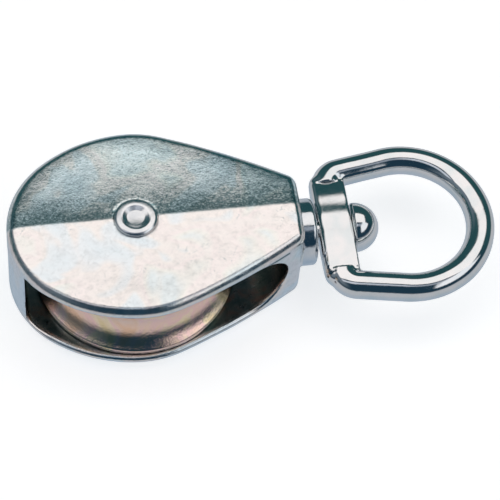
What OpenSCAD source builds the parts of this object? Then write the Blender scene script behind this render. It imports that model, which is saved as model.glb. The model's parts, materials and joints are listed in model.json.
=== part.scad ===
// Single sheave block with a swivel eye.
// The sheave turns about Z and the eye swivels about X.
// Origin: centre of the sheave.  +X: towards the eye.  +Z: out of the front cheek.

/* [Sheave] */
// Diameter over the sheave's flanges
sheave_d = 38.1; // [37:0.1:38.4]
// Radius of the rope groove's round
groove_r = 7; // [6.8:0.1:7.4]
// Depth of the groove below the rims
groove_depth = 3.55; // [3:0.05:3.6]
// Thickness of the pressed sheave halves
sheet_t = 1.05; // [0.8:0.05:1.05]
// Outside diameter of the tubular hub
hub_d = 8.6; // [8:0.1:9.4]
// Diameter of the hub's swaged collars
hub_collar_d = 12; // [10.5:0.1:14]

/* [Axle rivet] */
// Diameter of the rivet's shank
axle_d = 6; // [5:0.1:6.4]
// Running clearance on the radius, hub to shank
axle_play = 0.05; // [0.02:0.01:0.1]
// Diameter of the formed heads
rivet_head_d = 8; // [7.8:0.1:9]
// Height of the rounded ring on each head
rivet_ring_h = 0.85; // [0.6:0.05:1]

/* [Body casting] */
// Axle to the tail end
tail_l = 23.9; // [23.5:0.05:25]
// Width over the cheeks
body_w = 40.1; // [39.5:0.1:41]
// Radius of the tail end in plan
tail_r = 18; // [17.6:0.1:18.5]
// Turn of the round cheek before the straighter flank begins, degrees
flank_start = 21; // [18:0.5:23]
// Axle to the flat nose face
nose_l = 31; // [30.4:0.1:32]
// Width of the nose face
nose_w = 13.8; // [12:0.1:14.5]
// Thickness over the cheeks at their edges
body_t = 20; // [20:0.1:22]
// Rise of the centre ridge above the cheeks' edges
ridge_h = 0.55; // [0.3:0.05:0.8]
// Depth of the hollow in each facet beside the ridge
facet_hollow = 0.15; // [0.05:0.05:0.2]
// Radius along the cheeks' edges
edge_r = 1.6; // [0.8:0.1:1.8]
// Thickness of the bridge behind the sheave
bridge_t = 2.45; // [2:0.05:3]
// Gap between the cheeks
cheek_gap = 14.9; // [14.7:0.1:15.2]
// Axle to the round end of the gap
throat_l = 27.8; // [27:0.1:28]
// Diameter of the thrust bosses inside the cheeks
boss_d = 12; // [10:0.5:14]
// Height of the thrust bosses
boss_h = 0.2; // [0.1:0.05:0.2]
// Diameter of the swivel neck
neck_d = 12.8; // [12:0.1:13]
// Length of the swivel neck
neck_l = 3.1; // [2.9:0.1:3.5]

/* [Swivel] */
// Diameter of the swivel pin
pin_d = 3.4; // [3:0.1:3.8]
// Running clearance on the radius, eye to pin
pin_play = 0.08; // [0.02:0.01:0.1]
// Diameter of the pin's ball head
ball_d = 9.5; // [9:0.1:10]
// Free space between the neck and the eye's bar
neck_space = 0.7; // [0.4:0.05:1]
// Free space between the eye's bar and the ball head
ball_space = 0.1; // [0.05:0.05:0.2]
// Width of the eye's bar along the pin
bar_w = 6.6; // [6.2:0.1:6.8]
// Thickness of the eye's bar over its flats
bar_t = 5.2; // [5:0.1:5.4]
// Diameter of the eye's round section
eye_wire_d = 5.44; // [5:0.02:5.6]
// Radius of the eye's round loop on its centreline
eye_r = 14.35; // [14:0.05:15]
// Centre of the eye's bar to the centre of the loop
eye_reach = 13.95; // [13.5:0.05:14.5]
// Radius of the eye's corners on their centreline
corner_r = 3; // [2.8:0.1:3.2]

/* [Hidden] */
$fn = 96;

zinc = [0.72, 0.76, 0.80];
bright_zinc = [0.86, 0.88, 0.90];
gold_zinc = [0.86, 0.72, 0.50];
nickel = [0.52, 0.60, 0.64];

far = 60;          // larger than any feature, for cutting tools
lap = 0.3;         // how far joined lengths of the eye run into each other
root = 0.5;        // how far the bosses and the neck start inside the cheeks and nose
fine_fn = 180;     // sides on the large rounds
edge_fn = 48;      // sides on the small edge rounds
facet_fn = 720;    // sides on the facets' very long arcs
half_t = body_t / 2;
top_z = half_t + ridge_h;

// Plan outline of the casting: a tail arc, two side arcs, a round part about
// the axle and two long flank arcs, all tangent to each other.
tail_x = tail_l - tail_r;
side_r = (pow(tail_r, 2) - pow(tail_x, 2) - pow(body_w / 2, 2)) / (2 * tail_r - body_w);
side_y = side_r - body_w / 2;
tail_join_x = -side_r * tail_x / sqrt(pow(tail_x, 2) + pow(side_y, 2));
cheek_r = body_w / 2;
flank_dir = [sin(flank_start), cos(flank_start)];
flank_from = cheek_r * flank_dir;
flank_run = [nose_l, nose_w / 2] - flank_from;
flank_r = -(flank_run * flank_run) / (2 * flank_run * flank_dir);
flank_c = flank_from - flank_r * flank_dir;

// Hollow facets: a long arc from the ridge to the cheek's edge
facet_chord = norm([cheek_r, ridge_h]);
facet_r = (pow(facet_chord, 2) / 4 + pow(facet_hollow, 2)) / (2 * facet_hollow);
facet_tilt = atan(ridge_h / cheek_r);
facet_lift = facet_r - facet_hollow;

// Inside of the casting
gap_z = cheek_gap / 2;
bridge_x = tail_l - bridge_t;
throat_x = throat_l - gap_z;
boss_z = gap_z - boss_h;

// Axle rivet
axle_r = axle_d / 2;
rivet_seat_h = 0.15;     // spot face above the cheeks' edges
rivet_seat_gap = 0.1;    // spot face beyond the head, on the radius
rivet_seat_z = half_t + rivet_seat_h;
rivet_seat_r = rivet_head_d / 2 + rivet_seat_gap;
rivet_seat_cut = 2;
rivet_ring_r = rivet_head_d / 2 - rivet_ring_h;
rivet_dish_h = 0.35;     // dished middle of the head above its seat

// Sheave
rim_r = sheave_d / 2;
side_play = 0.1;         // running clearance between the hub and each boss
sheave_z = boss_z - side_play;
groove_floor_r = rim_r - groove_depth;
groove_c = groove_floor_r + groove_r;
shell_r = groove_r + sheet_t;
hub_r = hub_d / 2;
collar_t = 0.8;          // thickness of the swaged collars

// Swivel
pin_r = pin_d / 2;
neck_end = nose_l + neck_l;
neck_edge_r = 0.7;       // rounding of the neck's outer edge
bar_x = neck_end + neck_space + bar_w / 2;
ball_seat_x = bar_x + bar_w / 2 + ball_space;
ball_r = ball_d / 2;
ball_sink = 0.4;        // ball centre beyond its flat seat
peen_sink = 0.4;         // peened tail beyond the round end of the gap
peen_spread = 0.9;       // growth of the peened tail, on the radius
peen_x = throat_l + peen_sink;
peen_len = 1.2;
peen_r = pin_r + peen_spread;
bar_round_r = 3.6;       // round that breaks the bar's long edges
wire_r = eye_wire_d / 2;
shoulder_inset = 0.02;   // keeps the straight ends inside the bends
shoulder_r = wire_r - shoulder_inset;
loop_x = bar_x + eye_reach;

// Straight shoulders that run from the loop down to the corners of the eye
loop_half = 100;
shoulder_dir = [-sin(loop_half), cos(loop_half)];
loop_end = eye_r * [cos(loop_half), sin(loop_half)] + [loop_x, 0];
corner_turn = 180 - loop_half;
bend_y = loop_end[1] + (bar_x - loop_end[0]) * shoulder_dir[1] / shoulder_dir[0];
corner_trim = corner_r * tan(corner_turn / 2);
corner_y = bend_y - corner_trim;
shoulder_l = (bar_x - loop_end[0]) / shoulder_dir[0] - corner_trim;

// Disc with rounded edges, thick enough to reach the ridge
module edge_disc(r) {
  rotate_extrude($fn = fine_fn)
    for (side = [0, 1])
      mirror([0, side]) {
        square([r - edge_r, top_z]);
        square([r, top_z - edge_r]);
        translate([r - edge_r, top_z - edge_r]) circle(edge_r, $fn = edge_fn);
      }
}

module block_between(x0, x1) {
  translate([x0, -far / 2, -far / 2]) cube([x1 - x0, far, far]);
}

// Solid egg-shaped body of the casting before it is opened out
module casting_plan() {
  intersection() {
    translate([-tail_x, 0, 0]) edge_disc(tail_r);
    block_between(-far, tail_join_x);
  }
  intersection() {
    translate([0, -side_y, 0]) edge_disc(side_r);
    translate([0, side_y, 0]) edge_disc(side_r);
    block_between(tail_join_x, 0);
  }
  intersection() {
    edge_disc(cheek_r);
    block_between(0, flank_from[0]);
  }
  intersection() {
    translate([flank_c[0], flank_c[1], 0]) edge_disc(flank_r);
    translate([flank_c[0], -flank_c[1], 0]) edge_disc(flank_r);
    block_between(flank_from[0], nose_l);
  }
}

// Cheek faces: two hollow facets that meet in a straight ridge along X
module roof_section() {
  difference() {
    polygon([
      [-far, -half_t], [-cheek_r, -half_t], [0, -top_z], [cheek_r, -half_t], [far, -half_t],
      [far, half_t], [cheek_r, half_t], [0, top_z], [-cheek_r, half_t], [-far, half_t]
    ]);
    for (sy = [-1, 1])
      for (sz = [-1, 1])
        translate([
          sy * (cheek_r / 2 + facet_lift * sin(facet_tilt)),
          sz * (half_t + ridge_h / 2 + facet_lift * cos(facet_tilt))
        ])
          circle(facet_r, $fn = facet_fn);
  }
}

module roof() {
  translate([-far / 2, 0, 0])
    rotate([90, 0, 90])
      linear_extrude(far * 1.5)
        roof_section();
}

// Rope gap between the cheeks, square at the bridge and round at the throat
module rope_gap() {
  rotate([90, 0, 0])
    linear_extrude(far, center = true) {
      translate([-bridge_x, -gap_z]) square([bridge_x + throat_x, cheek_gap]);
      translate([throat_x, 0]) circle(gap_z);
    }
}

module swivel_neck() {
  neck_r = neck_d / 2;
  run = neck_l + root;
  translate([nose_l - root, 0, 0])
    rotate([0, 90, 0])
      rotate_extrude() {
        square([neck_r - neck_edge_r, run]);
        square([neck_r, run - neck_edge_r]);
        translate([neck_r - neck_edge_r, run - neck_edge_r]) circle(neck_edge_r, $fn = edge_fn);
      }
}

// Shank of the swivel pin with its peened tail, about +X
module pin_shank(x_end) {
  rotate([0, 90, 0]) {
    translate([0, 0, peen_x]) cylinder(h = peen_len, r1 = peen_r, r2 = pin_r);
    translate([0, 0, peen_x]) cylinder(h = x_end - peen_x, r = pin_r);
  }
}

module body_casting() {
  color(zinc)
    difference() {
      union() {
        difference() {
          intersection() {
            casting_plan();
            roof();
          }
          rope_gap();
        }
        swivel_neck();
        for (side = [-1, 1])
          translate([0, 0, side * (boss_z + gap_z + root) / 2])
            cylinder(h = boss_h + root, d = boss_d, center = true);
      }
      cylinder(h = far, r = axle_r, center = true);
      for (side = [0, 1])
        mirror([0, 0, side])
          translate([0, 0, rivet_seat_z]) cylinder(h = rivet_seat_cut, r = rivet_seat_r);
      pin_shank(neck_end + lap);
      rotate([0, 90, 0])
        translate([0, 0, throat_x]) cylinder(h = peen_x - throat_x, r = peen_r);
    }
}

module axle_rivet() {
  color(bright_zinc)
    rotate_extrude()
      for (side = [0, 1])
        mirror([0, side]) {
          square([axle_r, rivet_seat_z]);
          translate([0, rivet_seat_z]) square([rivet_ring_r, rivet_dish_h]);
          intersection() {
            translate([rivet_ring_r, rivet_seat_z]) circle(rivet_ring_h, $fn = edge_fn);
            translate([0, rivet_seat_z]) square([rivet_head_d, rivet_ring_h]);
          }
        }
}

// One pressed half: a flat web that turns out into one side of the groove
module sheave_half() {
  rotate_extrude($fn = fine_fn)
    difference() {
      union() {
        translate([hub_r, 0]) square([groove_floor_r - hub_r, sheet_t]);
        intersection() {
          translate([groove_c, 0]) circle(shell_r, $fn = fine_fn);
          translate([hub_r, 0]) square([rim_r - hub_r, sheave_z]);
        }
      }
      translate([groove_c, 0]) circle(groove_r, $fn = fine_fn);
    }
}

module sheave_front_half() {
  color(gold_zinc) sheave_half();
}

module sheave_back_half() {
  color(gold_zinc) mirror([0, 0, 1]) sheave_half();
}

// Tubular hub, swaged out against both webs
module sheave_hub() {
  color(bright_zinc)
    difference() {
      union() {
        cylinder(h = 2 * sheave_z, r = hub_r, center = true);
        for (side = [-1, 1])
          translate([0, 0, side * (sheet_t + collar_t / 2)])
            cylinder(h = collar_t, d = hub_collar_d, center = true);
      }
      cylinder(h = far, r = axle_r + axle_play, center = true);
    }
}

module swivel_pin() {
  color(nickel) {
    pin_shank(ball_seat_x + ball_sink);
    intersection() {
      translate([ball_seat_x + ball_sink, 0, 0]) sphere(ball_r);
      block_between(ball_seat_x, far * 2);
    }
  }
}

// Straight bar of the eye: round sides with four flats
module eye_bar() {
  bar_l = 2 * (corner_y + lap);
  translate([bar_x, 0, 0])
    intersection() {
      rotate([90, 0, 0]) cylinder(h = bar_l, r = bar_round_r, center = true);
      cube([bar_w, bar_l, bar_t], center = true);
    }
}

// A hair thinner than the bends, so that its ends sit inside theirs
module eye_shoulder() {
  translate([loop_end[0], loop_end[1], 0])
    rotate([0, 0, loop_half])
      rotate([-90, 0, 0])
        translate([0, 0, -lap]) cylinder(h = shoulder_l + 2 * lap, r = shoulder_r);
}

module eye_corner() {
  translate([bar_x + corner_r, corner_y, 0])
    rotate([0, 0, loop_half])
      rotate_extrude(angle = corner_turn)
        translate([corner_r, 0]) circle(wire_r);
}

module swivel_eye() {
  color(nickel)
    difference() {
      union() {
        eye_bar();
        for (side = [0, 1])
          mirror([0, side, 0]) {
            eye_corner();
            eye_shoulder();
          }
        translate([loop_x, 0, 0])
          rotate([0, 0, -loop_half])
            rotate_extrude(angle = 2 * loop_half, $fn = fine_fn)
              translate([eye_r, 0]) circle(wire_r);
      }
      rotate([0, 90, 0])
        translate([0, 0, neck_end]) cylinder(h = bar_w + 2 * neck_space, r = pin_r + pin_play);
    }
}

body_casting();
axle_rivet();
sheave_front_half();
sheave_back_half();
sheave_hub();
swivel_pin();
swivel_eye();
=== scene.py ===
"""Looks for a single sheave block with a swivel eye.

Lengths inside the shape functions are in millimetres and become metres when a mesh is made.
Origin: centre of the sheave.  +X: towards the eye.  +Z: out of the front cheek.
"""
import json
import math

import bpy
import numpy as np
from mathutils import Matrix, Vector


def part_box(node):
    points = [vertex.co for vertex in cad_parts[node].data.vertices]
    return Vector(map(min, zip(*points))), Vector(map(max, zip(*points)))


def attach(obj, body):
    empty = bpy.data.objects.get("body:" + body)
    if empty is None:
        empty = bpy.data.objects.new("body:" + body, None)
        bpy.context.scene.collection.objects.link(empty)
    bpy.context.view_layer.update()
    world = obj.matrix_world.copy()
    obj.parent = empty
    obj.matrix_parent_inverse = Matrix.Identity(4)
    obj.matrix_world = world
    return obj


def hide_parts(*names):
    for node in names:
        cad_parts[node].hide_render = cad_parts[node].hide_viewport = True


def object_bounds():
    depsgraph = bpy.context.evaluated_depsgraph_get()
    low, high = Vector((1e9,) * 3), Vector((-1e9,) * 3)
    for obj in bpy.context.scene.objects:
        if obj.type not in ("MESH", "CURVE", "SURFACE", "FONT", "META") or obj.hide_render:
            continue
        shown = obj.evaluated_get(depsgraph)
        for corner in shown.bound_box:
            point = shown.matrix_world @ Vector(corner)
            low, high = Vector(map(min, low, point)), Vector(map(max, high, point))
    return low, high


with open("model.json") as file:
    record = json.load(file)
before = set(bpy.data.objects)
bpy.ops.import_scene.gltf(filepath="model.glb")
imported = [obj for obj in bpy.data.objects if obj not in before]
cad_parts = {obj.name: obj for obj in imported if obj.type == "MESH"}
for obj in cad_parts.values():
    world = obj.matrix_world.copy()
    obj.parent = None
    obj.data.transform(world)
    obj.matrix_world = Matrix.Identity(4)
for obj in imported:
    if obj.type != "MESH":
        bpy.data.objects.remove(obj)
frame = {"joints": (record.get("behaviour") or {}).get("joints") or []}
cad_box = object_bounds()

MM = 0.001


def box_mm(node):
    low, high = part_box(node)
    return np.array(low) / MM, np.array(high) / MM


# ---------------------------------------------------------------- sizes from the frame
CAST_LOW, CAST_HIGH = box_mm("body_casting")
RIVET_HIGH = box_mm("axle_rivet")[1]
SHEAVE_HIGH = box_mm("sheave_front_half")[1]
HUB_HIGH = box_mm("sheave_hub")[1]
PIN_LOW, PIN_HIGH = box_mm("swivel_pin")
EYE_LOW, EYE_HIGH = box_mm("swivel_eye")
JOINTS = {j["name"]: j for j in frame["joints"]}

TAIL_L = -CAST_LOW[0]
CHEEK_R = CAST_HIGH[1]
TOP_Z = CAST_HIGH[2]
NECK_END = CAST_HIGH[0]
RIM_R = SHEAVE_HIGH[1]
SHEAVE_Z = SHEAVE_HIGH[2]
COLLAR_R = HUB_HIGH[1]
RIVET_HEAD_R = RIVET_HIGH[1]
RIVET_TOP = RIVET_HIGH[2]
BALL_R = PIN_HIGH[1]
EYE_TIP = EYE_HIGH[0]
WIRE_R = EYE_HIGH[2]
BAR_X = JOINTS["eye_swivel"]["pos_m"][0] / MM

# Body casting
TAIL_R = 18.0            # radius of the tail end in plan
FLANK_START = math.radians(21)   # where the flank leaves the round cheek
NOSE_L = 31.0            # axle to the nose face
NOSE_HALF = 6.9          # half the nose face's width
NOSE_CORNER_R = 1.3
RIDGE_H = 0.55           # rise of the ridge over the cheeks' edges
FACET_HOLLOW = 0.32
CROWN_W = 5.0            # width of the gentle fall towards the cheeks' edges
CROWN_H = 0.25           # height of that fall
BEVEL = 1.15             # bevel along the cheeks' outer edges
BEVEL_R = 0.4            # rounding at both sides of the bevel
WINDOW_EDGE_R = 0.3      # rounding where the rope gap meets the outside, at the tail
CHEEK_EDGE_R = 0.9       # and along the cheeks
BRIDGE_T = 2.45
GAP_HALF = 7.45          # half the gap between the cheeks
THROAT_L = 27.8
GAP_CORNER_R = 0.9       # inside corners at the bridge
NECK_R = 6.4
NECK_EDGE_R = 0.8
BOSS_R = 6.0
BOSS_H = 0.2
AXLE_R = 3.0
SPOT_FACE_Z = 10.15
# Swivel
PIN_R = 1.7
BAR_HALF_W = 3.3
BAR_HALF_T = 2.6
BAR_LEFT_R = 1.5         # rounding of the bar's edges towards the neck
BAR_RIGHT_R = 0.5        # and towards the ball head
BAR_CROWN = 0.55         # fall of the bar's flats towards its ends
EYE_R = 14.35            # loop radius on its centreline
LOOP_HALF = math.radians(100)
CORNER_R = 3.0
# Sheave
GROOVE_R = 7.0
GROOVE_DEPTH = 3.55
SHEET_T = 1.05
HUB_R = 4.3
COLLAR_T = 0.8
PIN_PLAY = 0.08          # round the pin's shank, in the eye
HUB_PLAY = 0.05          # round the rivet, in the hub
BALL_PLAY = 0.1          # between the bar and the ball head
# Meshing: the grid reaches past the CAD box by a margin, in cells of this size
GRID_MARGIN = np.array([0.8, 0.8, 0.8])
CASTING_CELL = 0.32
EYE_CELL = 0.25
NEWTON_STEPS = 3         # rounds that move the mesh's points onto the true surface


# ---------------------------------------------------------------- distance functions
def fillet_max(a, b, r):
    """Where both a and b hold, with the edge between them rounded to radius r."""
    return np.minimum(np.maximum(a, b), -r) + np.hypot(np.maximum(a + r, 0), np.maximum(b + r, 0))


def fillet_min(a, b, r):
    """Where a or b holds, with the inside corner between them filled to radius r."""
    return -fillet_max(-a, -b, r)


def waves(x, y, z, length, seed):
    """Smooth wandering between -1 and 1 with features about length mm across."""
    rng = np.random.default_rng(seed)
    total = 0
    count = 7
    for _ in range(count):
        direction = rng.normal(size=3)
        direction *= rng.uniform(0.7, 1.4) * 2 * math.pi / (length * np.linalg.norm(direction))
        total = total + np.sin(direction[0] * x + direction[1] * y + direction[2] * z + rng.uniform(0, 6.28))
    return total / math.sqrt(count)


def plan_distance(x, y):
    """Distance outside the egg-shaped plan: tail arc, side arcs, round cheek and flank arcs, all tangent."""
    y = np.abs(y)
    tail_x = TAIL_L - TAIL_R
    side_r = (TAIL_R ** 2 - tail_x ** 2 - CHEEK_R ** 2) / (2 * TAIL_R - 2 * CHEEK_R)
    side_y = side_r - CHEEK_R
    direction = np.array([math.sin(FLANK_START), math.cos(FLANK_START)])
    start = CHEEK_R * direction
    run = np.array([NOSE_L, NOSE_HALF]) - start
    flank_r = -(run @ run) / (2 * run @ direction)
    flank_x, flank_y = start - flank_r * direction
    tail = np.hypot(x + tail_x, y) - TAIL_R
    side = np.hypot(x, y + side_y) - side_r
    cheek = np.hypot(x, y) - CHEEK_R
    flank = np.hypot(x - flank_x, y - flank_y) - flank_r
    beyond_tail = np.arctan2(y + side_y, x) > math.atan2(side_y, -tail_x)
    on_cheek = np.arctan2(x, y) < FLANK_START
    return np.where(beyond_tail, tail, np.where(x < 0, side, np.where(on_cheek, cheek, flank)))


def casting(x, y, z):
    t = np.clip(np.abs(y) / CHEEK_R, 0, 1)
    roof = TOP_Z - RIDGE_H * t - 4 * FACET_HOLLOW * t * (1 - t)
    roof = roof + 0.015 * waves(x, y, z, 9.0, 11)
    outside = plan_distance(x, y) + 0.02 * waves(x, y, z, 8.0, 12)
    crown = np.clip(1 + outside / CROWN_W, 0, 1)
    roof = roof - CROWN_H * crown ** 2
    outside = fillet_max(outside, x - NOSE_L, NOSE_CORNER_R)
    face = np.abs(z) - roof
    bevel = (outside + face + BEVEL) / math.sqrt(2)
    body = fillet_max(fillet_max(outside, bevel, BEVEL_R), face, BEVEL_R)
    # rope gap: square at the bridge, full round at the throat
    bridge_x = TAIL_L - BRIDGE_T
    throat_x = THROAT_L - GAP_HALF
    slot = fillet_max(np.abs(z) - GAP_HALF, -bridge_x - x, GAP_CORNER_R)
    gap = np.where(x > throat_x, np.hypot(x - throat_x, z) - GAP_HALF, slot)
    edge_r = WINDOW_EDGE_R + (CHEEK_EDGE_R - WINDOW_EDGE_R) * np.clip((x + bridge_x - 1.5) / 3, 0, 1)
    body = fillet_max(body, -gap, edge_r)
    # thrust bosses inside the cheeks
    boss = np.maximum(np.hypot(x, y) - BOSS_R, np.abs(np.abs(z) - GAP_HALF) - BOSS_H)
    body = fillet_min(body, boss, 0.1)
    # swivel neck
    around = np.hypot(y, z)
    neck = fillet_max(around - NECK_R, x - NECK_END, NECK_EDGE_R)
    neck = np.maximum(neck, NOSE_L - 2 - x)
    body = fillet_min(body, neck, 0.35)
    # spot faces and holes
    axle = np.hypot(x, y)
    body = np.maximum(body, -np.maximum(axle - RIVET_HEAD_R - 0.1, SPOT_FACE_Z - np.abs(z)))
    body = np.maximum(body, AXLE_R - axle)
    flare = np.clip(THROAT_L + 1.6 - x, 0, 0.9)
    pin_hole = np.where(x < THROAT_L + 1.6, around - PIN_R - flare, around - PIN_R)
    return np.where(x > throat_x + 2, np.maximum(body, -pin_hole), body)


def segment_distance(px, py, a, b):
    """Distance in the plane from a straight run between points a and b."""
    ax, ay = a
    bx, by = b[0] - ax, b[1] - ay
    t = np.clip(((px - ax) * bx + (py - ay) * by) / (bx * bx + by * by), 0, 1)
    return np.hypot(px - ax - t * bx, py - ay - t * by)


def eye(x, y, z):
    loop_x = EYE_TIP - WIRE_R - EYE_R
    side = np.abs(y)
    along = np.array([-math.sin(LOOP_HALF), math.cos(LOOP_HALF)])
    loop_end = np.array([loop_x, 0]) + EYE_R * np.array([math.cos(LOOP_HALF), math.sin(LOOP_HALF)])
    turn = math.pi - LOOP_HALF
    bend_y = loop_end[1] + (BAR_X - loop_end[0]) * along[1] / along[0]
    trim = CORNER_R * math.tan(turn / 2)
    corner = np.array([BAR_X + CORNER_R, bend_y - trim])
    shoulder_end = np.array([BAR_X, bend_y]) - along * trim
    # centreline distance in the plane of the eye
    on_loop = np.arctan2(side, x - loop_x) < LOOP_HALF
    loop = np.where(on_loop, np.abs(np.hypot(x - loop_x, side) - EYE_R), 1e3)
    shoulder = segment_distance(x, side, loop_end, shoulder_end)
    bend_angle = np.arctan2(side - corner[1], x - corner[0])
    in_bend = bend_angle > LOOP_HALF
    bend = np.where(in_bend, np.abs(np.hypot(x - corner[0], side - corner[1]) - CORNER_R), 1e3)
    in_plane = np.minimum(np.minimum(loop, shoulder), bend)
    wire = np.hypot(in_plane, z) - WIRE_R
    # drilled bar with flats, and a shallow dip where each flat meets the loop's corner
    crown = BAR_CROWN * (y / corner[1]) ** 2 + 0.03 * np.cos(1.3 * y + 0.8)
    dip = 0.25 * np.exp(-((side - corner[1] - 0.6) / 0.55) ** 2)
    face = np.abs(z) - BAR_HALF_T + crown + dip
    bar = fillet_max(BAR_X - BAR_HALF_W - x, face, BAR_LEFT_R)
    bar = np.maximum(bar, fillet_max(x - BAR_X - BAR_HALF_W, face, BAR_RIGHT_R))
    bar = fillet_max(bar, side - corner[1] - 2.2, 1.8)
    solid = fillet_min(wire, bar, 0.6)
    solid = solid + 0.015 * waves(x, y, z, 7.0, 21)
    hole = np.hypot(y, z) - PIN_R - PIN_PLAY
    near_bar = np.abs(x - BAR_X) < BAR_HALF_W + 0.6
    return np.where(near_bar, fillet_max(solid, -hole, 0.25), solid)


# ---------------------------------------------------------------- meshes
def surface_net(field, low, high, cell):
    """Quad mesh of the surface where field is 0, with its points moved onto that surface."""
    counts = np.ceil((high - low) / cell).astype(int) + 1
    axes = [low[i] + cell * np.arange(counts[i]) for i in range(3)]
    values = np.empty(counts)
    for i, x in enumerate(axes[0]):
        values[i] = field(x, axes[1][:, None], axes[2][None, :])
    inside = values < 0
    cells = counts - 1
    corners = [(a, b, c) for a in (0, 1) for b in (0, 1) for c in (0, 1)]

    def shifted(array, corner):
        return array[tuple(slice(corner[i], corner[i] + cells[i]) for i in range(3))]

    filled = sum(shifted(inside, c).astype(np.int8) for c in corners)
    active = (filled > 0) & (filled < 8)
    place = np.argwhere(active)
    index = -np.ones(cells, int)
    index[active] = np.arange(len(place))
    total = np.zeros((len(place), 3))
    hits = np.zeros(len(place))
    for a in corners:
        for axis in range(3):
            if a[axis]:
                continue
            b = tuple(1 if i == axis else a[i] for i in range(3))
            fa = shifted(values, a)[active]
            fb = shifted(values, b)[active]
            crossed = (fa < 0) != (fb < 0)
            t = np.where(crossed, fa / np.where(crossed, fa - fb, 1), 0)
            point = np.array(a, float) + t[:, None] * (np.arange(3) == axis)
            total += np.where(crossed[:, None], point, 0)
            hits += crossed
    points = low + cell * (place + total / hits[:, None])
    faces = []
    for axis in range(3):
        u, v = (axis + 1) % 3, (axis + 2) % 3
        span = [slice(1, counts[i] - 1) for i in range(3)]
        span[axis] = slice(0, cells[axis])
        ahead = list(span)
        ahead[axis] = slice(1, counts[axis])
        here, there = inside[tuple(span)], inside[tuple(ahead)]
        for flip, mask in ((False, here & ~there), (True, ~here & there)):
            base = np.argwhere(mask)
            base[:, u] += 1
            base[:, v] += 1
            ring = []
            for du, dv in ((-1, -1), (0, -1), (0, 0), (-1, 0)):
                spot = base.copy()
                spot[:, u] += du
                spot[:, v] += dv
                ring.append(index[spot[:, 0], spot[:, 1], spot[:, 2]])
            quad = np.stack(ring, 1)
            faces.append(quad[:, ::-1] if flip else quad)
    step = 0.02
    for _ in range(NEWTON_STEPS):
        x, y, z = points.T
        value = field(x, y, z)
        slope = np.stack([
            field(x + step, y, z) - field(x - step, y, z),
            field(x, y + step, z) - field(x, y - step, z),
            field(x, y, z + step) - field(x, y, z - step)], 1) / (2 * step)
        size = np.maximum((slope ** 2).sum(1), 0.25)
        move = -(value / size)[:, None] * slope
        points = points + np.clip(move, -0.5 * cell, 0.5 * cell)
    return points, np.concatenate(faces)


def add_piece(name, points, faces, body, node, material):
    mesh = bpy.data.meshes.new(name)
    mesh.from_pydata((np.asarray(points) * MM).tolist(), [], [list(map(int, f)) for f in faces])
    mesh.validate()
    mesh.update()
    mesh.shade_smooth()
    mesh.materials.append(material)
    piece = bpy.data.objects.new(name, mesh)
    bpy.context.scene.collection.objects.link(piece)
    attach(piece, body)
    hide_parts(node)
    return piece


def rounded(corners, step=12):
    """Outline with each corner (x, y, radius) rounded, as points. The outline is closed."""
    points = []
    count = len(corners)
    for i, (x, y, r) in enumerate(corners):
        here = np.array([x, y], float)
        back = np.array(corners[i - 1][:2], float) - here
        ahead = np.array(corners[(i + 1) % count][:2], float) - here
        if r <= 0:
            points.append(here)
            continue
        back_l, ahead_l = np.linalg.norm(back), np.linalg.norm(ahead)
        back, ahead = back / back_l, ahead / ahead_l
        half = math.acos(np.clip(back @ ahead, -1, 1)) / 2
        trim = min(r / math.tan(half), 0.49 * back_l, 0.49 * ahead_l)
        r = trim * math.tan(half)
        centre = here + (back + ahead) / np.linalg.norm(back + ahead) * (r / math.sin(half))
        a, b = here + back * trim - centre, here + ahead * trim - centre
        sweep = math.atan2(a[0] * b[1] - a[1] * b[0], a @ b)
        pieces = max(2, int(abs(math.degrees(sweep)) / step))
        for k in range(pieces + 1):
            turn = sweep * k / pieces
            points.append(centre + np.array([
                a[0] * math.cos(turn) - a[1] * math.sin(turn),
                a[0] * math.sin(turn) + a[1] * math.cos(turn)]))
    return points


def arc(cx, cy, r, start, end, count):
    """Points on an arc, angles in degrees."""
    return [np.array([cx + r * math.cos(math.radians(a)), cy + r * math.sin(math.radians(a))])
            for a in np.linspace(start, end, count)]


def divided(points, longest, closed=True):
    """The same outline with no step longer than longest."""
    out = []
    for i, a in enumerate(points):
        out.append(a)
        if i + 1 == len(points) and not closed:
            break
        b = points[(i + 1) % len(points)]
        parts = int(np.linalg.norm(np.subtract(b, a)) / longest)
        for k in range(1, parts + 1):
            out.append(np.asarray(a) + (np.subtract(b, a)) * k / (parts + 1))
    return out


def lathe(outline, segments, axis="z", closed=True):
    """Turns an outline of (radius, height) points. An open outline starts and ends on the axis."""
    outline = np.array(outline)
    count = len(outline)
    angles = 2 * math.pi * np.arange(segments) / segments
    points, faces = [], []
    ring_start = []
    for r, h in outline:
        ring_start.append(len(points))
        if r < 1e-6:
            points.append((0, 0, h))
        else:
            points += [(r * math.cos(a), r * math.sin(a), h) for a in angles]
    for i in range(count if closed else count - 1):
        a, b = ring_start[i], ring_start[(i + 1) % count]
        on_axis_a = outline[i][0] < 1e-6
        on_axis_b = outline[(i + 1) % count][0] < 1e-6
        for k in range(segments):
            n = (k + 1) % segments
            if on_axis_a:
                faces.append((a, b + n, b + k))
            elif on_axis_b:
                faces.append((a + k, a + n, b))
            else:
                faces.append((a + k, a + n, b + n, b + k))
    points = np.array(points, float)
    if axis == "x":
        points = points[:, [2, 0, 1]]
    # outward normals: the signed volume is positive
    tri = np.array([[f[0], f[i], f[i + 1]] for f in faces for i in range(1, len(f) - 1)])
    p = points[tri]
    if np.einsum("ij,ij->i", p[:, 0], np.cross(p[:, 1], p[:, 2])).sum() < 0:
        faces = [f[::-1] for f in faces]
    return points, faces


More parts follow.
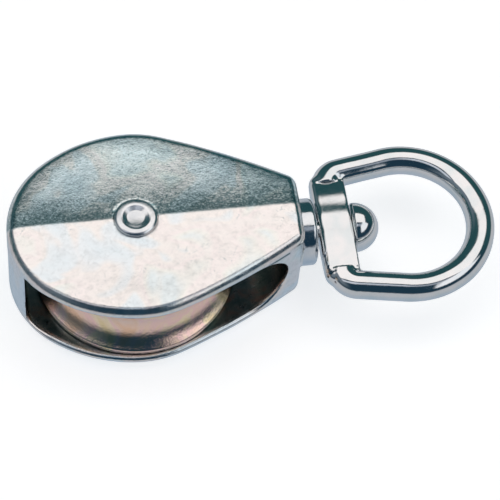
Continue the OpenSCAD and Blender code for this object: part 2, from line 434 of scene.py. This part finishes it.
# ---------------------------------------------------------------- materials
class Nodes:
    """A few short ways to build a procedural material."""

    def __init__(self, name):
        self.material = bpy.data.materials.new(name)
        self.material.use_nodes = True
        self.tree = self.material.node_tree
        self.shader = self.tree.nodes["Principled BSDF"]
        coords = self.tree.nodes.new("ShaderNodeTexCoord")
        self.place = coords.outputs["Object"]

    def add(self, kind, inputs=None, **settings):
        node = self.tree.nodes.new(kind)
        for key, value in settings.items():
            setattr(node, key, value)
        for key, value in (inputs or {}).items():
            socket = node.inputs[key]
            if isinstance(value, bpy.types.NodeSocket):
                self.tree.links.new(value, socket)
            else:
                socket.default_value = value
        return node

    def link(self, output, name):
        self.tree.links.new(output, self.shader.inputs[name])

    def noise(self, size_mm, detail=3.0, roughness=0.5, distortion=0.0, offset=0.0):
        where = self.place
        if offset:
            where = self.add("ShaderNodeVectorMath", {0: where, 1: (offset, offset, offset)},
                             operation="ADD").outputs[0]
        node = self.add("ShaderNodeTexNoise", {
            "Vector": where, "Scale": 1 / (size_mm * MM), "Detail": detail,
            "Roughness": roughness, "Distortion": distortion})
        return node.outputs["Fac"]

    def ramp(self, factor, stops):
        node = self.add("ShaderNodeValToRGB", {"Fac": factor})
        elements = node.color_ramp.elements
        while len(elements) < len(stops):
            elements.new(0.5)
        for element, (position, colour) in zip(elements, stops):
            element.position = position
            element.color = (*colour, 1)
        return node.outputs["Color"]

    def span(self, factor, low, high, to_low, to_high):
        node = self.add("ShaderNodeMapRange", {
            "Value": factor, "From Min": low, "From Max": high, "To Min": to_low, "To Max": to_high})
        return node.outputs["Result"]

    def mix(self, factor, a, b, blend="MIX"):
        node = self.add("ShaderNodeMix", data_type="RGBA", blend_type=blend)
        for socket, value in ((node.inputs[0], factor), (node.inputs[6], a), (node.inputs[7], b)):
            if isinstance(value, bpy.types.NodeSocket):
                self.tree.links.new(value, socket)
            elif isinstance(value, tuple):
                socket.default_value = (*value, 1)
            else:
                socket.default_value = value
        return node.outputs[2]

    def bump(self, height, strength, distance_mm, under=None):
        inputs = {"Height": height, "Strength": strength, "Distance": distance_mm * MM}
        if under is not None:
            inputs["Normal"] = under
        return self.add("ShaderNodeBump", inputs).outputs["Normal"]


def zinc_material():
    """Zinc plate over a die casting: cast grain, cloudy pink, blue and cream passivation, fine scratches.

    The mesh's "inside" attribute is 1 on the walls of the rope gap and on the front cheek's inner edge, where
    a painted shade darkens the colour.
    """
    m = Nodes("zinc_casting")
    clouds = m.noise(13, 2, 0.5, 0.5)
    tint = m.ramp(clouds, [
        (0.33, (0.76, 0.84, 0.88)), (0.43, (0.83, 0.87, 0.89)), (0.47, (0.90, 0.86, 0.83)),
        (0.55, (0.91, 0.85, 0.83)), (0.60, (0.88, 0.87, 0.83)), (0.66, (0.80, 0.86, 0.87))])
    patches = m.span(m.noise(1.4, 4, 0.7, 0.4, offset=0.3), 0.30, 0.52, 0.88, 1.0)
    tint = m.mix(1.0, tint, patches, "MULTIPLY")
    # fine wandering scratches: thin lines where a noise crosses its middle
    scratch = m.noise(7, 4, 0.7, 1.6, offset=0.7)
    line = m.add("ShaderNodeMath", {0: scratch, 1: 0.5}, operation="SUBTRACT").outputs[0]
    line = m.add("ShaderNodeMath", {0: line}, operation="ABSOLUTE").outputs[0]
    line = m.span(line, 0.0, 0.005, 1.0, 0.0)
    broken = m.span(m.noise(4, 2, 0.5, offset=0.9), 0.55, 0.62, 0.0, 1.0)
    line = m.add("ShaderNodeMath", {0: line, 1: broken}, operation="MULTIPLY").outputs[0]
    tint = m.mix(line, tint, (0.36, 0.42, 0.44))
    split = m.add("ShaderNodeSeparateXYZ", {0: m.place})
    # the +Y half of each cheek is tinted bluer and speckled dark, most densely near the ridge
    plus_y_half = m.span(split.outputs[1], 0.0, 0.6 * MM, 0.0, 1.0)
    near_ridge = m.span(split.outputs[1], 0.8 * MM, 6.5 * MM, 1.0, 0.0)
    speck = m.noise(0.42, 4, 0.8, offset=1.1)
    limit = m.span(near_ridge, 0.0, 1.0, 0.42, 0.56)
    over = m.add("ShaderNodeMath", {0: speck, 1: limit}, operation="SUBTRACT").outputs[0]
    dark = m.add("ShaderNodeMath", {0: m.span(over, -0.07, 0.03, 1.0, 0.0), 1: plus_y_half},
                 operation="MULTIPLY").outputs[0]
    tint = m.mix(plus_y_half, tint, m.mix(1.0, tint, (0.90, 1.0, 1.02), "MULTIPLY"))
    tint = m.mix(dark, tint, (0.26, 0.40, 0.42))
    # painted shade: dark teal-to-brown colour for the rope gap's walls and the front cheek's inner edge
    painted_gap_shade = m.ramp(m.noise(5, 3, 0.6, 0.5), [
        (0.35, (0.08, 0.15, 0.17)), (0.55, (0.20, 0.26, 0.27)), (0.70, (0.32, 0.24, 0.22))])
    inside = m.add("ShaderNodeAttribute", attribute_name="inside").outputs["Fac"]
    m.link(m.mix(inside, tint, painted_gap_shade), "Base Color")
    m.shader.inputs["Metallic"].default_value = 1.0
    worn = m.span(m.noise(1.2, 4, 0.6, offset=0.1), 0.3, 0.7, 0.13, 0.26)
    gap_roughness = m.span(inside, 0.0, 1.0, 0.0, 0.12)
    m.link(m.add("ShaderNodeMath", {0: worn, 1: gap_roughness}, operation="ADD").outputs[0], "Roughness")
    grain = m.bump(m.noise(0.36, 3, 0.7, offset=0.2), 0.7, 0.028)
    pits = m.bump(m.noise(1.3, 2, 0.5, offset=0.4), 0.5, 0.05, grain)
    m.link(pits, "Normal")
    return m.material


def sheave_material():
    """Yellow zinc passivate: gold with pink and cream clouds, light turning marks."""
    m = Nodes("gold_passivate")
    clouds = m.noise(7, 3, 0.5, 0.8)
    m.link(m.ramp(clouds, [
        (0.32, (1.00, 0.66, 0.46)), (0.42, (1.00, 0.72, 0.58)), (0.50, (1.00, 0.68, 0.62)),
        (0.58, (1.00, 0.80, 0.58)), (0.68, (0.94, 0.74, 0.44))]), "Base Color")
    m.shader.inputs["Metallic"].default_value = 1.0
    m.link(m.span(m.noise(1.2, 4, 0.6, offset=0.2), 0.3, 0.7, 0.08, 0.16), "Roughness")
    m.link(m.bump(m.noise(0.42, 3, 0.75, offset=0.5), 0.9, 0.055), "Normal")
    return m.material


def bright_material(name, colour, darker, rough_low, rough_high, grain_mm, bump):
    """Bright plate with faint clouding and small surface waviness."""
    m = Nodes(name)
    m.link(m.ramp(m.noise(4, 3, 0.5, 0.3), [(0.35, darker), (0.65, colour)]), "Base Color")
    m.shader.inputs["Metallic"].default_value = 1.0
    m.link(m.span(m.noise(1.5, 3, 0.6, offset=0.2), 0.3, 0.7, rough_low, rough_high), "Roughness")
    m.link(m.bump(m.noise(grain_mm, 2, 0.5, offset=0.4), 0.4, bump), "Normal")
    return m.material


ZINC = zinc_material()
GOLD = sheave_material()
RIVET_ZINC = bright_material("rivet_zinc", (0.88, 0.88, 0.88), (0.76, 0.78, 0.80), 0.16, 0.26, 0.8, 0.02)
HUB_ZINC = bright_material("hub_zinc", (0.84, 0.85, 0.85), (0.72, 0.74, 0.76), 0.22, 0.34, 0.8, 0.02)
NECK_ZINC = bright_material("neck_zinc", (0.78, 0.80, 0.82), (0.62, 0.68, 0.74), 0.08, 0.20, 0.9, 0.05)
NICKEL = bright_material("nickel", (0.84, 0.83, 0.83), (0.74, 0.78, 0.79), 0.06, 0.13, 1.4, 0.02)


# ---------------------------------------------------------------- pieces
def make_casting():
    points, faces = surface_net(casting, CAST_LOW - GRID_MARGIN, CAST_HIGH + GRID_MARGIN, CASTING_CELL)
    piece = add_piece("cast_body", points, faces, "frame", "body_casting", ZINC)
    piece.data.materials.append(NECK_ZINC)
    x, y, z = points.T
    # painted shade: the rope gap's walls and the front cheek's inner edge get the dark colour through the
    # inside attribute
    depth = np.clip((-plan_distance(x, y) - CHEEK_EDGE_R) / 0.4, 0, 1)
    within = np.clip((GAP_HALF + 0.25 - np.abs(z)) / 0.2, 0, 1) * (x < THROAT_L + 0.3)
    # painted shade: the front cheek's inner edge is darkened too, as the dark gap above the sheave
    painted_edge_shade = np.clip((GAP_HALF + 0.40 - z) / 0.12, 0, 1) * (z > GAP_HALF - 0.1)
    painted_edge_shade = painted_edge_shade * (x > 1.5 - TAIL_L + BRIDGE_T) * (x < THROAT_L)
    inside = piece.data.attributes.new("inside", "FLOAT", "POINT")
    inside.data.foreach_set("value", np.maximum(depth * within, painted_edge_shade).astype(np.float32))
    for face in piece.data.polygons:
        face.material_index = int(face.center.x / MM > NOSE_L + 0.2)
    return piece


def make_eye():
    points, faces = surface_net(eye, EYE_LOW - GRID_MARGIN, EYE_HIGH + GRID_MARGIN, EYE_CELL)
    return add_piece("forged_eye", points, faces, "eye", "swivel_eye", NICKEL)


def make_rivet():
    seat = SPOT_FACE_Z - 0.08
    top = RIVET_TOP
    corners = [
        (0, top - 0.6, 0), (1.65, top - 0.57, 0.4), (2.45, top - 0.08, 0.15), (2.8, top, 0.5),
        (3.55, top - 0.05, 0.4), (RIVET_HEAD_R, top - 0.35, 0.25), (RIVET_HEAD_R, seat, 0), (AXLE_R, seat, 0)]
    # the middle is left out of the rounding, because it lies on the axis
    half = [np.array(corners[0][:2], float)] + rounded(corners, 15)[1:]
    shank = [np.array([AXLE_R, h]) for h in np.linspace(seat - 1, 0, 6)]
    upper = half + shank
    lower = [np.array([r, -h]) for r, h in reversed(upper[:-1])]
    points, faces = lathe(upper + lower, 96, closed=False)
    return add_piece("axle_rivet_formed", points, faces, "frame", "axle_rivet", RIVET_ZINC)


def sheave_outline():
    """One pressed half as (radius, height): the groove's side, the rolled rim, the back and the web."""
    shell_r = GROOVE_R + SHEET_T
    centre = RIM_R - GROOVE_DEPTH + GROOVE_R
    rim_angle = math.degrees(math.acos((centre - RIM_R + 0.25) / GROOVE_R))
    back_angle = math.degrees(math.asin((SHEAVE_Z - 0.08) / shell_r))
    web_angle = math.degrees(math.asin(SHEET_T / shell_r))
    groove = arc(centre, 0, GROOVE_R, 180, 180 - rim_angle, 40)
    x, y = groove[-1]
    lip = rounded([(x, y, 0), (RIM_R, y + 0.22, 0.2), (RIM_R, SHEAVE_Z, 0.35),
                   (centre - shell_r * math.cos(math.radians(back_angle)), SHEAVE_Z - 0.02, 0)], 20)[1:-1]
    back = arc(centre, 0, shell_r, 180 - back_angle, 180 - web_angle, 30)
    web_r = back[-1][0]
    web = [(web_r - 0.6, SHEET_T), (HUB_R + 0.15, SHEET_T), (HUB_R, SHEET_T - 0.15), (HUB_R, 0.0)]
    return divided(groove + lip + back + [np.array(p) for p in web], 1.5)


def make_sheave_half(name, node, side):
    points, faces = lathe(sheave_outline(), 160)
    if side < 0:
        points = points * np.array([1, 1, -1])
        faces = [f[::-1] for f in faces]
    return add_piece(name, points, faces, "sheave", node, GOLD)


def make_hub():
    z, r, bore = SHEAVE_Z, HUB_R, AXLE_R + HUB_PLAY
    c0, c1 = SHEET_T, SHEET_T + COLLAR_T
    corners = [
        (bore, -z, 0.2), (r, -z, 0.25), (r, -c1, 0.2), (COLLAR_R, -c1, 0.3), (COLLAR_R, -c0, 0.1),
        (r, -c0, 0), (r, c0, 0), (COLLAR_R, c0, 0.1), (COLLAR_R, c1, 0.3), (r, c1, 0.2),
        (r, z, 0.25), (bore, z, 0.2)]
    points, faces = lathe(divided(rounded(corners, 20), 2.0), 72)
    return add_piece("tubular_hub", points, faces, "sheave", "sheave_hub", HUB_ZINC)


def make_pin():
    centre = PIN_HIGH[0] - BALL_R
    seat = BAR_X + BAR_HALF_W + BALL_PLAY
    cut = math.degrees(math.acos((seat - centre) / BALL_R))
    tail = PIN_LOW[0]
    outline = [np.array(p) for p in (
        (0, tail), (PIN_R + 0.5, tail), (PIN_R + 0.9, tail + 0.12), (PIN_R, tail + 1.2))]
    outline += [np.array([PIN_R, h]) for h in np.linspace(tail + 1.5, seat - 0.3, 8)]
    outline += [np.array([PIN_R + 0.25, seat]), np.array([BALL_R - 0.35, seat])]
    outline += [np.array([BALL_R * math.sin(math.radians(a)), centre + BALL_R * math.cos(math.radians(a))])
                for a in np.linspace(cut - 3, 0, 34)]
    outline[-1][0] = 0
    points, faces = lathe(outline, 96, axis="x", closed=False)
    return add_piece("ball_head_pin", points, faces, "frame", "swivel_pin", NICKEL)


make_casting()
make_eye()
make_rivet()
make_sheave_half("sheave_half_front", "sheave_front_half", 1)
make_sheave_half("sheave_half_back", "sheave_back_half", -1)
make_hub()
make_pin()


# ---------------------------------------------------------------- floor, light and camera
def make_floor():
    size = 3.0
    height = cad_box[0][2]
    mesh = bpy.data.meshes.new("floor")
    corners = [(-size, -size, height), (size, -size, height), (size, size, height), (-size, size, height)]
    mesh.from_pydata(corners, [], [(0, 1, 2, 3)])
    floor = bpy.data.objects.new("floor", mesh)
    bpy.context.scene.collection.objects.link(floor)
    floor.visible_glossy = False
    m = Nodes("pale_floor")
    m.tree.nodes.remove(m.shader)
    output = m.tree.nodes["Material Output"]
    diffuse = m.add("ShaderNodeBsdfDiffuse", {"Color": (0.80, 0.80, 0.80, 1)})
    glow = m.add("ShaderNodeEmission", {"Color": (1, 1, 1, 1), "Strength": 0.66})
    both = m.add("ShaderNodeAddShader", {0: diffuse.outputs[0], 1: glow.outputs[0]})
    m.tree.links.new(both.outputs[0], output.inputs["Surface"])
    mesh.materials.append(m.material)


class Sky:
    """The studio around the object, as a function of direction."""

    def __init__(self):
        world = bpy.data.worlds.new("studio")
        bpy.context.scene.world = world
        world.use_nodes = True
        self.tree = world.node_tree
        coords = self.tree.nodes.new("ShaderNodeTexCoord")
        split = self.tree.nodes.new("ShaderNodeSeparateXYZ")
        self.tree.links.new(coords.outputs["Generated"], split.inputs[0])
        self.x, self.y, self.z = split.outputs
        above = self.math("MAXIMUM", self.z, 0.03)
        self.across = self.math("DIVIDE", self.x, above)
        self.deep = self.math("DIVIDE", self.y, above)

    def math(self, operation, a, b=0.0):
        node = self.tree.nodes.new("ShaderNodeMath")
        node.operation = operation
        for socket, value in zip(node.inputs, (a, b)):
            if isinstance(value, bpy.types.NodeSocket):
                self.tree.links.new(value, socket)
            else:
                socket.default_value = value
        return node.outputs[0]

    def rise(self, value, low, high):
        """0 below low and 1 above high, with a soft step between."""
        node = self.tree.nodes.new("ShaderNodeMapRange")
        node.interpolation_type = "SMOOTHSTEP"
        self.tree.links.new(value, node.inputs["Value"])
        node.inputs["From Min"].default_value = low
        node.inputs["From Max"].default_value = high
        return node.outputs["Result"]

    def fall(self, value, low, high):
        return self.math("SUBTRACT", 1.0, self.rise(value, low, high))

    def both(self, *factors):
        result = factors[0]
        for factor in factors[1:]:
            result = self.math("MULTIPLY", result, factor)
        return result

    def mix(self, factor, a, b):
        node = self.tree.nodes.new("ShaderNodeMix")
        node.data_type = "RGBA"
        for socket, value in ((node.inputs[0], factor), (node.inputs[6], a), (node.inputs[7], b)):
            if isinstance(value, bpy.types.NodeSocket):
                self.tree.links.new(value, socket)
            else:
                socket.default_value = (*value, 1)
        return node.outputs[2]


def make_world():
    sky = Sky()
    back_dark, front_dark = (0.022, 0.075, 0.085), (0.014, 0.040, 0.066)
    low_near, low_far = (0.40, 0.47, 0.55), (0.50, 0.52, 0.55)
    walls = sky.mix(sky.rise(sky.y, -0.3, 0.3), front_dark, back_dark)
    left = sky.both(sky.fall(sky.x, -0.9, -0.4), sky.rise(sky.z, 0.1, 0.5))
    walls = sky.mix(left, walls, (0.16, 0.20, 0.24))
    table = sky.mix(sky.fall(sky.z, -0.95, -0.3), low_far, low_near)
    edge = sky.mix(sky.rise(sky.y, -0.2, 0.3), (0.10, 0.10, 0.10), (-0.35, -0.35, -0.35))
    colour = sky.mix(sky.rise(sky.math("SUBTRACT", sky.z, edge), -0.12, 0.06), table, walls)
    # a weaker panel in front of the overhead softbox, with a dark seam between them
    panel = sky.both(sky.rise(sky.deep, -0.58, -0.46), sky.fall(sky.deep, -0.30, -0.25),
                     sky.rise(sky.across, -1.3, -1.1), sky.fall(sky.across, 1.0, 1.2),
                     sky.rise(sky.z, 0.1, 0.2))
    panel_colour = sky.mix(sky.rise(sky.across, -0.1, 0.25), (0.62, 0.66, 0.74), (0.30, 0.34, 0.40))
    colour = sky.mix(panel, colour, panel_colour)
    box = sky.both(sky.rise(sky.deep, -0.18, -0.12), sky.fall(sky.deep, 0.70, 0.84),
                   sky.rise(sky.across, -1.3, -1.1), sky.fall(sky.across, 1.0, 1.2), sky.rise(sky.z, 0.1, 0.2))
    colour = sky.mix(box, colour, (1.06, 1.03, 1.02))
    # card to the right of the camera
    card = sky.both(sky.rise(sky.x, 0.38, 0.46), sky.fall(sky.y, -0.12, -0.04),
                    sky.rise(sky.z, 0.42, 0.5), sky.fall(sky.z, 0.78, 0.86))
    colour = sky.mix(card, colour, (0.95, 0.98, 1.02))
    path = sky.tree.nodes.new("ShaderNodeLightPath")
    colour = sky.mix(path.outputs["Is Camera Ray"], colour, (0.94, 0.94, 0.94))
    background = sky.tree.nodes["Background"]
    sky.tree.links.new(colour, background.inputs["Color"])


def make_camera():
    """The photograph's view: a long lens, 58 degrees above the horizon, slightly rolled."""
    azimuth, elevation, roll = math.radians(-13.61), math.radians(58.26), math.radians(6.41)
    target = Vector((21.52, -2.87, 0)) * MM
    distance = 0.4349
    back = Vector((math.sin(azimuth) * math.cos(elevation), -math.cos(azimuth) * math.cos(elevation),
                   math.sin(elevation)))
    right = Vector((0, 0, 1)).cross(back).normalized()
    up = back.cross(right)
    camera = bpy.data.cameras.new("camera")
    camera.sensor_width = 36
    camera.lens = 165.7
    camera.clip_start = 0.01
    eye_point = bpy.data.objects.new("camera", camera)
    bpy.context.scene.collection.objects.link(eye_point)
    rolled_right = right * math.cos(roll) + up * math.sin(roll)
    rolled_up = up * math.cos(roll) - right * math.sin(roll)
    turn = Matrix((rolled_right, rolled_up, back)).transposed().to_4x4()
    eye_point.matrix_world = Matrix.Translation(target + back * distance) @ turn
    bpy.context.scene.camera = eye_point


make_floor()
make_world()
make_camera()
bpy.context.scene.view_settings.view_transform = "Standard"
